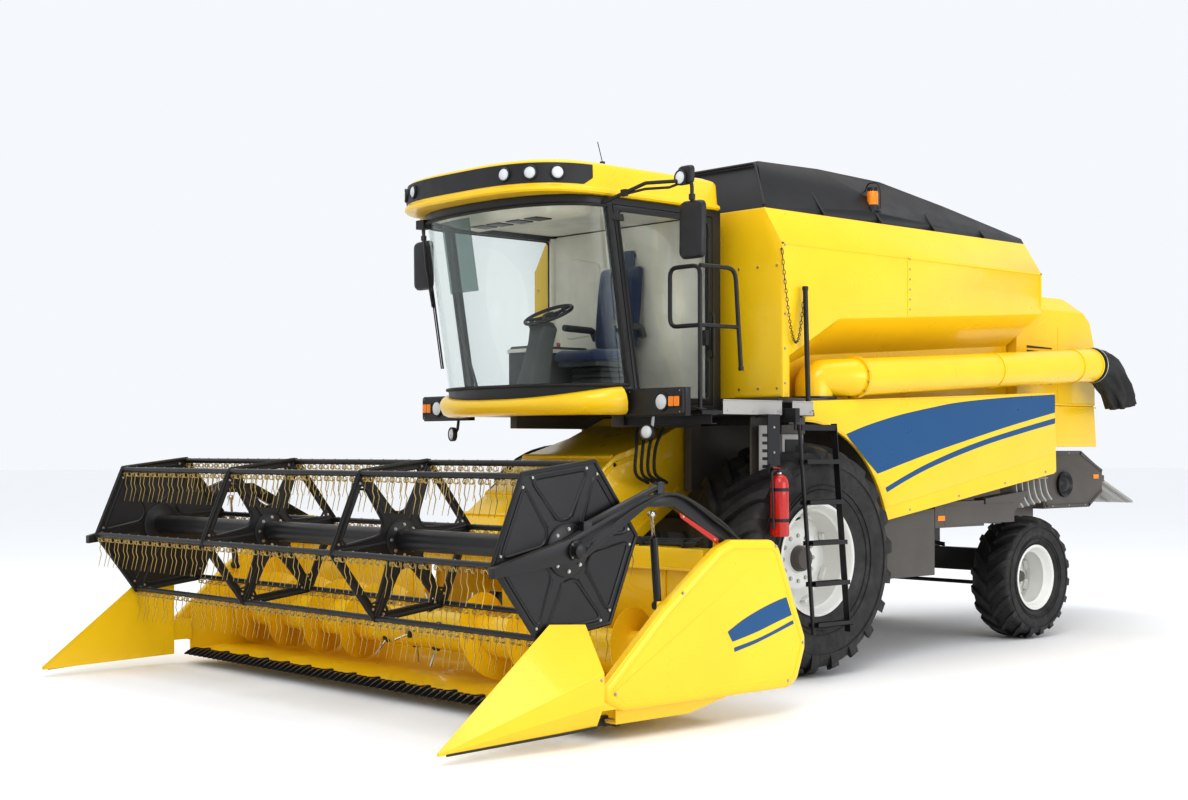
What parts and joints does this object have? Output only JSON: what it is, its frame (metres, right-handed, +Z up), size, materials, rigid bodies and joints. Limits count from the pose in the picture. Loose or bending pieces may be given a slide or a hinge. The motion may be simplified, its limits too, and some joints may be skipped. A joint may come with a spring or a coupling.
{
  "type": "combine harvester",
  "caption": "Self-propelled combine harvester with a grain header, lifting reel, cab, grain tank and swinging unloading auger on four wheels.",
  "frame": {"origin": "on the ground, centred between the machine's sides and between the header's front tips and the rear deflector", "axes": "+Z up, +X to the machine's left, -Y forward"},
  "size_m": [5.44, 10.722, 4.13],
  "materials": {
    "yellow_paint": "gloss sprayed enamel",
    "black_paint": "satin black enamel",
    "frame_paint": "satin brown-grey enamel",
    "rim_paint": "off-white enamel",
    "tyre": "moulded tread rubber",
    "spout_rubber": "folded rubber sheet",
    "cab_glass": "tinted laminated glass",
    "rod_steel": "ground bright steel",
    "seat_fabric": "woven navy cloth",
    "cab_trim": "grained moulding",
    "pale_paint": "light grey enamel",
    "red_paint": "gloss enamel",
    "tine_steel": "passivated spring steel",
    "lamp_glass": "clear lens",
    "amber_lens": "amber moulded lens",
    "mirror_face": "silvered glass",
    "black_plastic": "grained moulding"
  },
  "bodies": {
    "chassis": {"chassis_frame": "frame_paint", "threshing_body": "frame_paint", "straw_hood": "yellow_paint", "engine_hood": "yellow_paint", "engine_block": "frame_paint", "chopper_housing": "frame_paint", "grain_tank": "yellow_paint", "tank_extension": "black_paint", "front_axle": "black_paint", "rear_axle": "black_paint", "cab_shell": "black_paint", "cab_roof": "yellow_paint", "windshield": "cab_glass", "side_window_right": "cab_glass", "driver_seat": "seat_fabric", "cab_controls": "cab_trim", "operator_platform": "black_paint", "mirror_left": "black_paint", "mirror_right": "black_paint", "fire_extinguisher": "red_paint"},
    "front_wheel_left": {"front_tyre_left": "tyre", "front_rim_left": "rim_paint"},
    "knuckle_left": {"knuckle_left": "black_paint"},
    "rear_wheel_left": {"rear_tyre_left": "tyre", "rear_rim_left": "rim_paint"},
    "side_panel_left": {"side_panel_left": "yellow_paint"},
    "front_wheel_right": {"front_tyre_right": "tyre", "front_rim_right": "rim_paint"},
    "knuckle_right": {"knuckle_right": "black_paint"},
    "rear_wheel_right": {"rear_tyre_right": "tyre", "rear_rim_right": "rim_paint"},
    "side_panel_right": {"side_panel_right": "yellow_paint"},
    "tie_rod": {"tie_rod": "black_paint"},
    "header": {"feeder_house": "yellow_paint", "header_frame": "yellow_paint", "header_end_left": "yellow_paint", "header_end_right": "yellow_paint"},
    "lift_barrels": {"lift_cylinders": "black_paint"},
    "lift_rods": {"lift_pistons": "rod_steel"},
    "header_auger": {"header_auger": "yellow_paint"},
    "knife": {"knife": "rod_steel"},
    "reel_arms": {"reel_arm_left": "black_paint", "reel_arm_right": "black_paint"},
    "reel_barrels": {"reel_cylinder_left": "black_paint", "reel_cylinder_right": "black_paint"},
    "reel_rods": {"reel_piston_left": "rod_steel", "reel_piston_right": "rod_steel"},
    "reel": {"reel_rotor": "black_paint"},
    "tine_bar_1": {"tine_bar_1": "black_paint"},
    "tine_bar_2": {"tine_bar_2": "black_paint"},
    "tine_bar_3": {"tine_bar_3": "black_paint"},
    "tine_bar_4": {"tine_bar_4": "black_paint"},
    "tine_bar_5": {"tine_bar_5": "black_paint"},
    "tine_bar_6": {"tine_bar_6": "black_paint"},
    "unloader": {"unloading_tube": "yellow_paint", "unloading_spout": "spout_rubber"},
    "cab_door": {"cab_door": "black_paint", "door_glass": "cab_glass"},
    "ladder": {"ladder": "black_paint"},
    "straw_deflector": {"straw_deflector": "pale_paint"}
  },
  "joints": [
    {"name": "front_wheel_left_spin", "type": "hinge", "parent": "chassis", "child": "front_wheel_left", "pos_m": [1.29, -0.909, 0.92], "axis": [1, 0, 0], "continuous": true},
    {"name": "steer_left", "type": "hinge", "parent": "chassis", "child": "knuckle_left", "pos_m": [0.82, 2.654, 0.575], "axis": [0, 0, 1], "range_deg": [-30, 30]},
    {"name": "rear_wheel_left_spin", "type": "hinge", "parent": "knuckle_left", "child": "rear_wheel_left", "pos_m": [1.097, 2.654, 0.575], "axis": [1, 0, 0], "continuous": true},
    {"name": "front_wheel_right_spin", "type": "hinge", "parent": "chassis", "child": "front_wheel_right", "pos_m": [-1.29, -0.909, 0.92], "axis": [1, 0, 0], "continuous": true},
    {"name": "steer_right", "type": "hinge", "parent": "chassis", "child": "knuckle_right", "pos_m": [-0.82, 2.654, 0.575], "axis": [0, 0, 1], "range_deg": [-30, 30]},
    {"name": "rear_wheel_right_spin", "type": "hinge", "parent": "knuckle_right", "child": "rear_wheel_right", "pos_m": [-1.097, 2.654, 0.575], "axis": [1, 0, 0], "continuous": true},
    {"name": "tie_rod_pivot", "type": "hinge", "parent": "knuckle_left", "child": "tie_rod", "pos_m": [0.82, 2.434, 0.51], "axis": [0, 0, 1], "range_deg": [-30, 30]},
    {"name": "header_lift", "type": "hinge", "parent": "chassis", "child": "header", "pos_m": [0, -1.209, 1.75], "axis": [-1, 0, 0], "range_deg": [0, 19]},
    {"name": "lift_barrel_swing", "type": "hinge", "parent": "chassis", "child": "lift_barrels", "pos_m": [0, -1.079, 0.9], "axis": [-1, 0, 0], "range_deg": [0, 17.5]},
    {"name": "lift_rod_slide", "type": "slide", "parent": "lift_barrels", "child": "lift_rods", "axis": [0, -0.9898, -0.1426], "range_m": [0, 0.29]},
    {"name": "auger_spin", "type": "hinge", "parent": "header", "child": "header_auger", "pos_m": [0, -3.509, 0.455], "axis": [1, 0, 0], "continuous": true},
    {"name": "knife_stroke", "type": "slide", "parent": "header", "child": "knife", "axis": [1, 0, 0], "range_m": [-0.038, 0.038]},
    {"name": "reel_lift", "type": "hinge", "parent": "header", "child": "reel_arms", "pos_m": [0, -2.939, 1.16], "axis": [-1, 0, 0], "range_deg": [-4, 22]},
    {"name": "reel_barrel_swing", "type": "hinge", "parent": "header", "child": "reel_barrels", "pos_m": [0, -3.629, 0.8], "axis": [-1, 0, 0], "range_deg": [-2.2, 11]},
    {"name": "reel_rod_slide", "type": "slide", "parent": "reel_barrels", "child": "reel_rods", "axis": [0, -0.0859, 0.9963], "range_m": [-0.06, 0.27]},
    {"name": "reel_spin", "type": "hinge", "parent": "reel_arms", "child": "reel", "pos_m": [0, -4.351, 1.178], "axis": [1, 0, 0], "continuous": true},
    {"name": "tine_bar_1_turn", "type": "hinge", "parent": "reel", "child": "tine_bar_1", "pos_m": [0, -3.79016, 1.24646], "axis": [1, 0, 0], "continuous": true},
    {"name": "tine_bar_2_turn", "type": "hinge", "parent": "reel", "child": "tine_bar_2", "pos_m": [0, -4.12987, 1.69793], "axis": [1, 0, 0], "continuous": true},
    {"name": "tine_bar_3_turn", "type": "hinge", "parent": "reel", "child": "tine_bar_3", "pos_m": [0, -4.69071, 1.62947], "axis": [1, 0, 0], "continuous": true},
    {"name": "tine_bar_4_turn", "type": "hinge", "parent": "reel", "child": "tine_bar_4", "pos_m": [0, -4.91184, 1.10954], "axis": [1, 0, 0], "continuous": true},
    {"name": "tine_bar_5_turn", "type": "hinge", "parent": "reel", "child": "tine_bar_5", "pos_m": [0, -4.57213, 0.65807], "axis": [1, 0, 0], "continuous": true},
    {"name": "tine_bar_6_turn", "type": "hinge", "parent": "reel", "child": "tine_bar_6", "pos_m": [0, -4.01129, 0.72653], "axis": [1, 0, 0], "continuous": true},
    {"name": "unloader_swing", "type": "hinge", "parent": "chassis", "child": "unloader", "pos_m": [1.27, -0.559, 2.3], "axis": [0, 0, -1], "range_deg": [0, 90]},
    {"name": "cab_door_hinge", "type": "hinge", "parent": "chassis", "child": "cab_door", "pos_m": [1, -2.304, 2.27], "axis": [0, 0.1628, -0.9867], "range_deg": [0, 40]},
    {"name": "ladder_swing", "type": "hinge", "parent": "chassis", "child": "ladder", "pos_m": [1.7, -1.289, 1.2], "axis": [0, 0, -1], "range_deg": [0, 90]},
    {"name": "side_panel_left_lift", "type": "hinge", "parent": "chassis", "child": "side_panel_left", "pos_m": [1.48, -0.909, 2.1648], "axis": [0, 0.9992, 0.0401], "range_deg": [-75, 0]},
    {"name": "side_panel_right_lift", "type": "hinge", "parent": "chassis", "child": "side_panel_right", "pos_m": [-1.48, -0.909, 2.1648], "axis": [0, -0.9992, -0.0401], "range_deg": [-75, 0]},
    {"name": "straw_deflector_tilt", "type": "hinge", "parent": "chassis", "child": "straw_deflector", "pos_m": [0, 4.703, 1.47], "axis": [1, 0, 0], "range_deg": [-20, 15]}
  ],
  "couplings": [
    {"joint": "steer_right", "follows": "steer_left", "ratio": 1},
    {"joint": "tie_rod_pivot", "follows": "steer_left", "ratio": -1},
    {"joint": "lift_barrel_swing", "follows": "header_lift", "ratio": 0.899},
    {"joint": "lift_rod_slide", "follows": "header_lift", "m_per_rad": 0.8456},
    {"joint": "reel_barrel_swing", "follows": "reel_lift", "ratio": 0.488},
    {"joint": "reel_rod_slide", "follows": "reel_lift", "m_per_rad": 0.69},
    {"joint": "tine_bar_1_turn", "follows": "reel_spin", "ratio": -1},
    {"joint": "tine_bar_2_turn", "follows": "reel_spin", "ratio": -1},
    {"joint": "tine_bar_3_turn", "follows": "reel_spin", "ratio": -1},
    {"joint": "tine_bar_4_turn", "follows": "reel_spin", "ratio": -1},
    {"joint": "tine_bar_5_turn", "follows": "reel_spin", "ratio": -1},
    {"joint": "tine_bar_6_turn", "follows": "reel_spin", "ratio": -1}
  ]
}
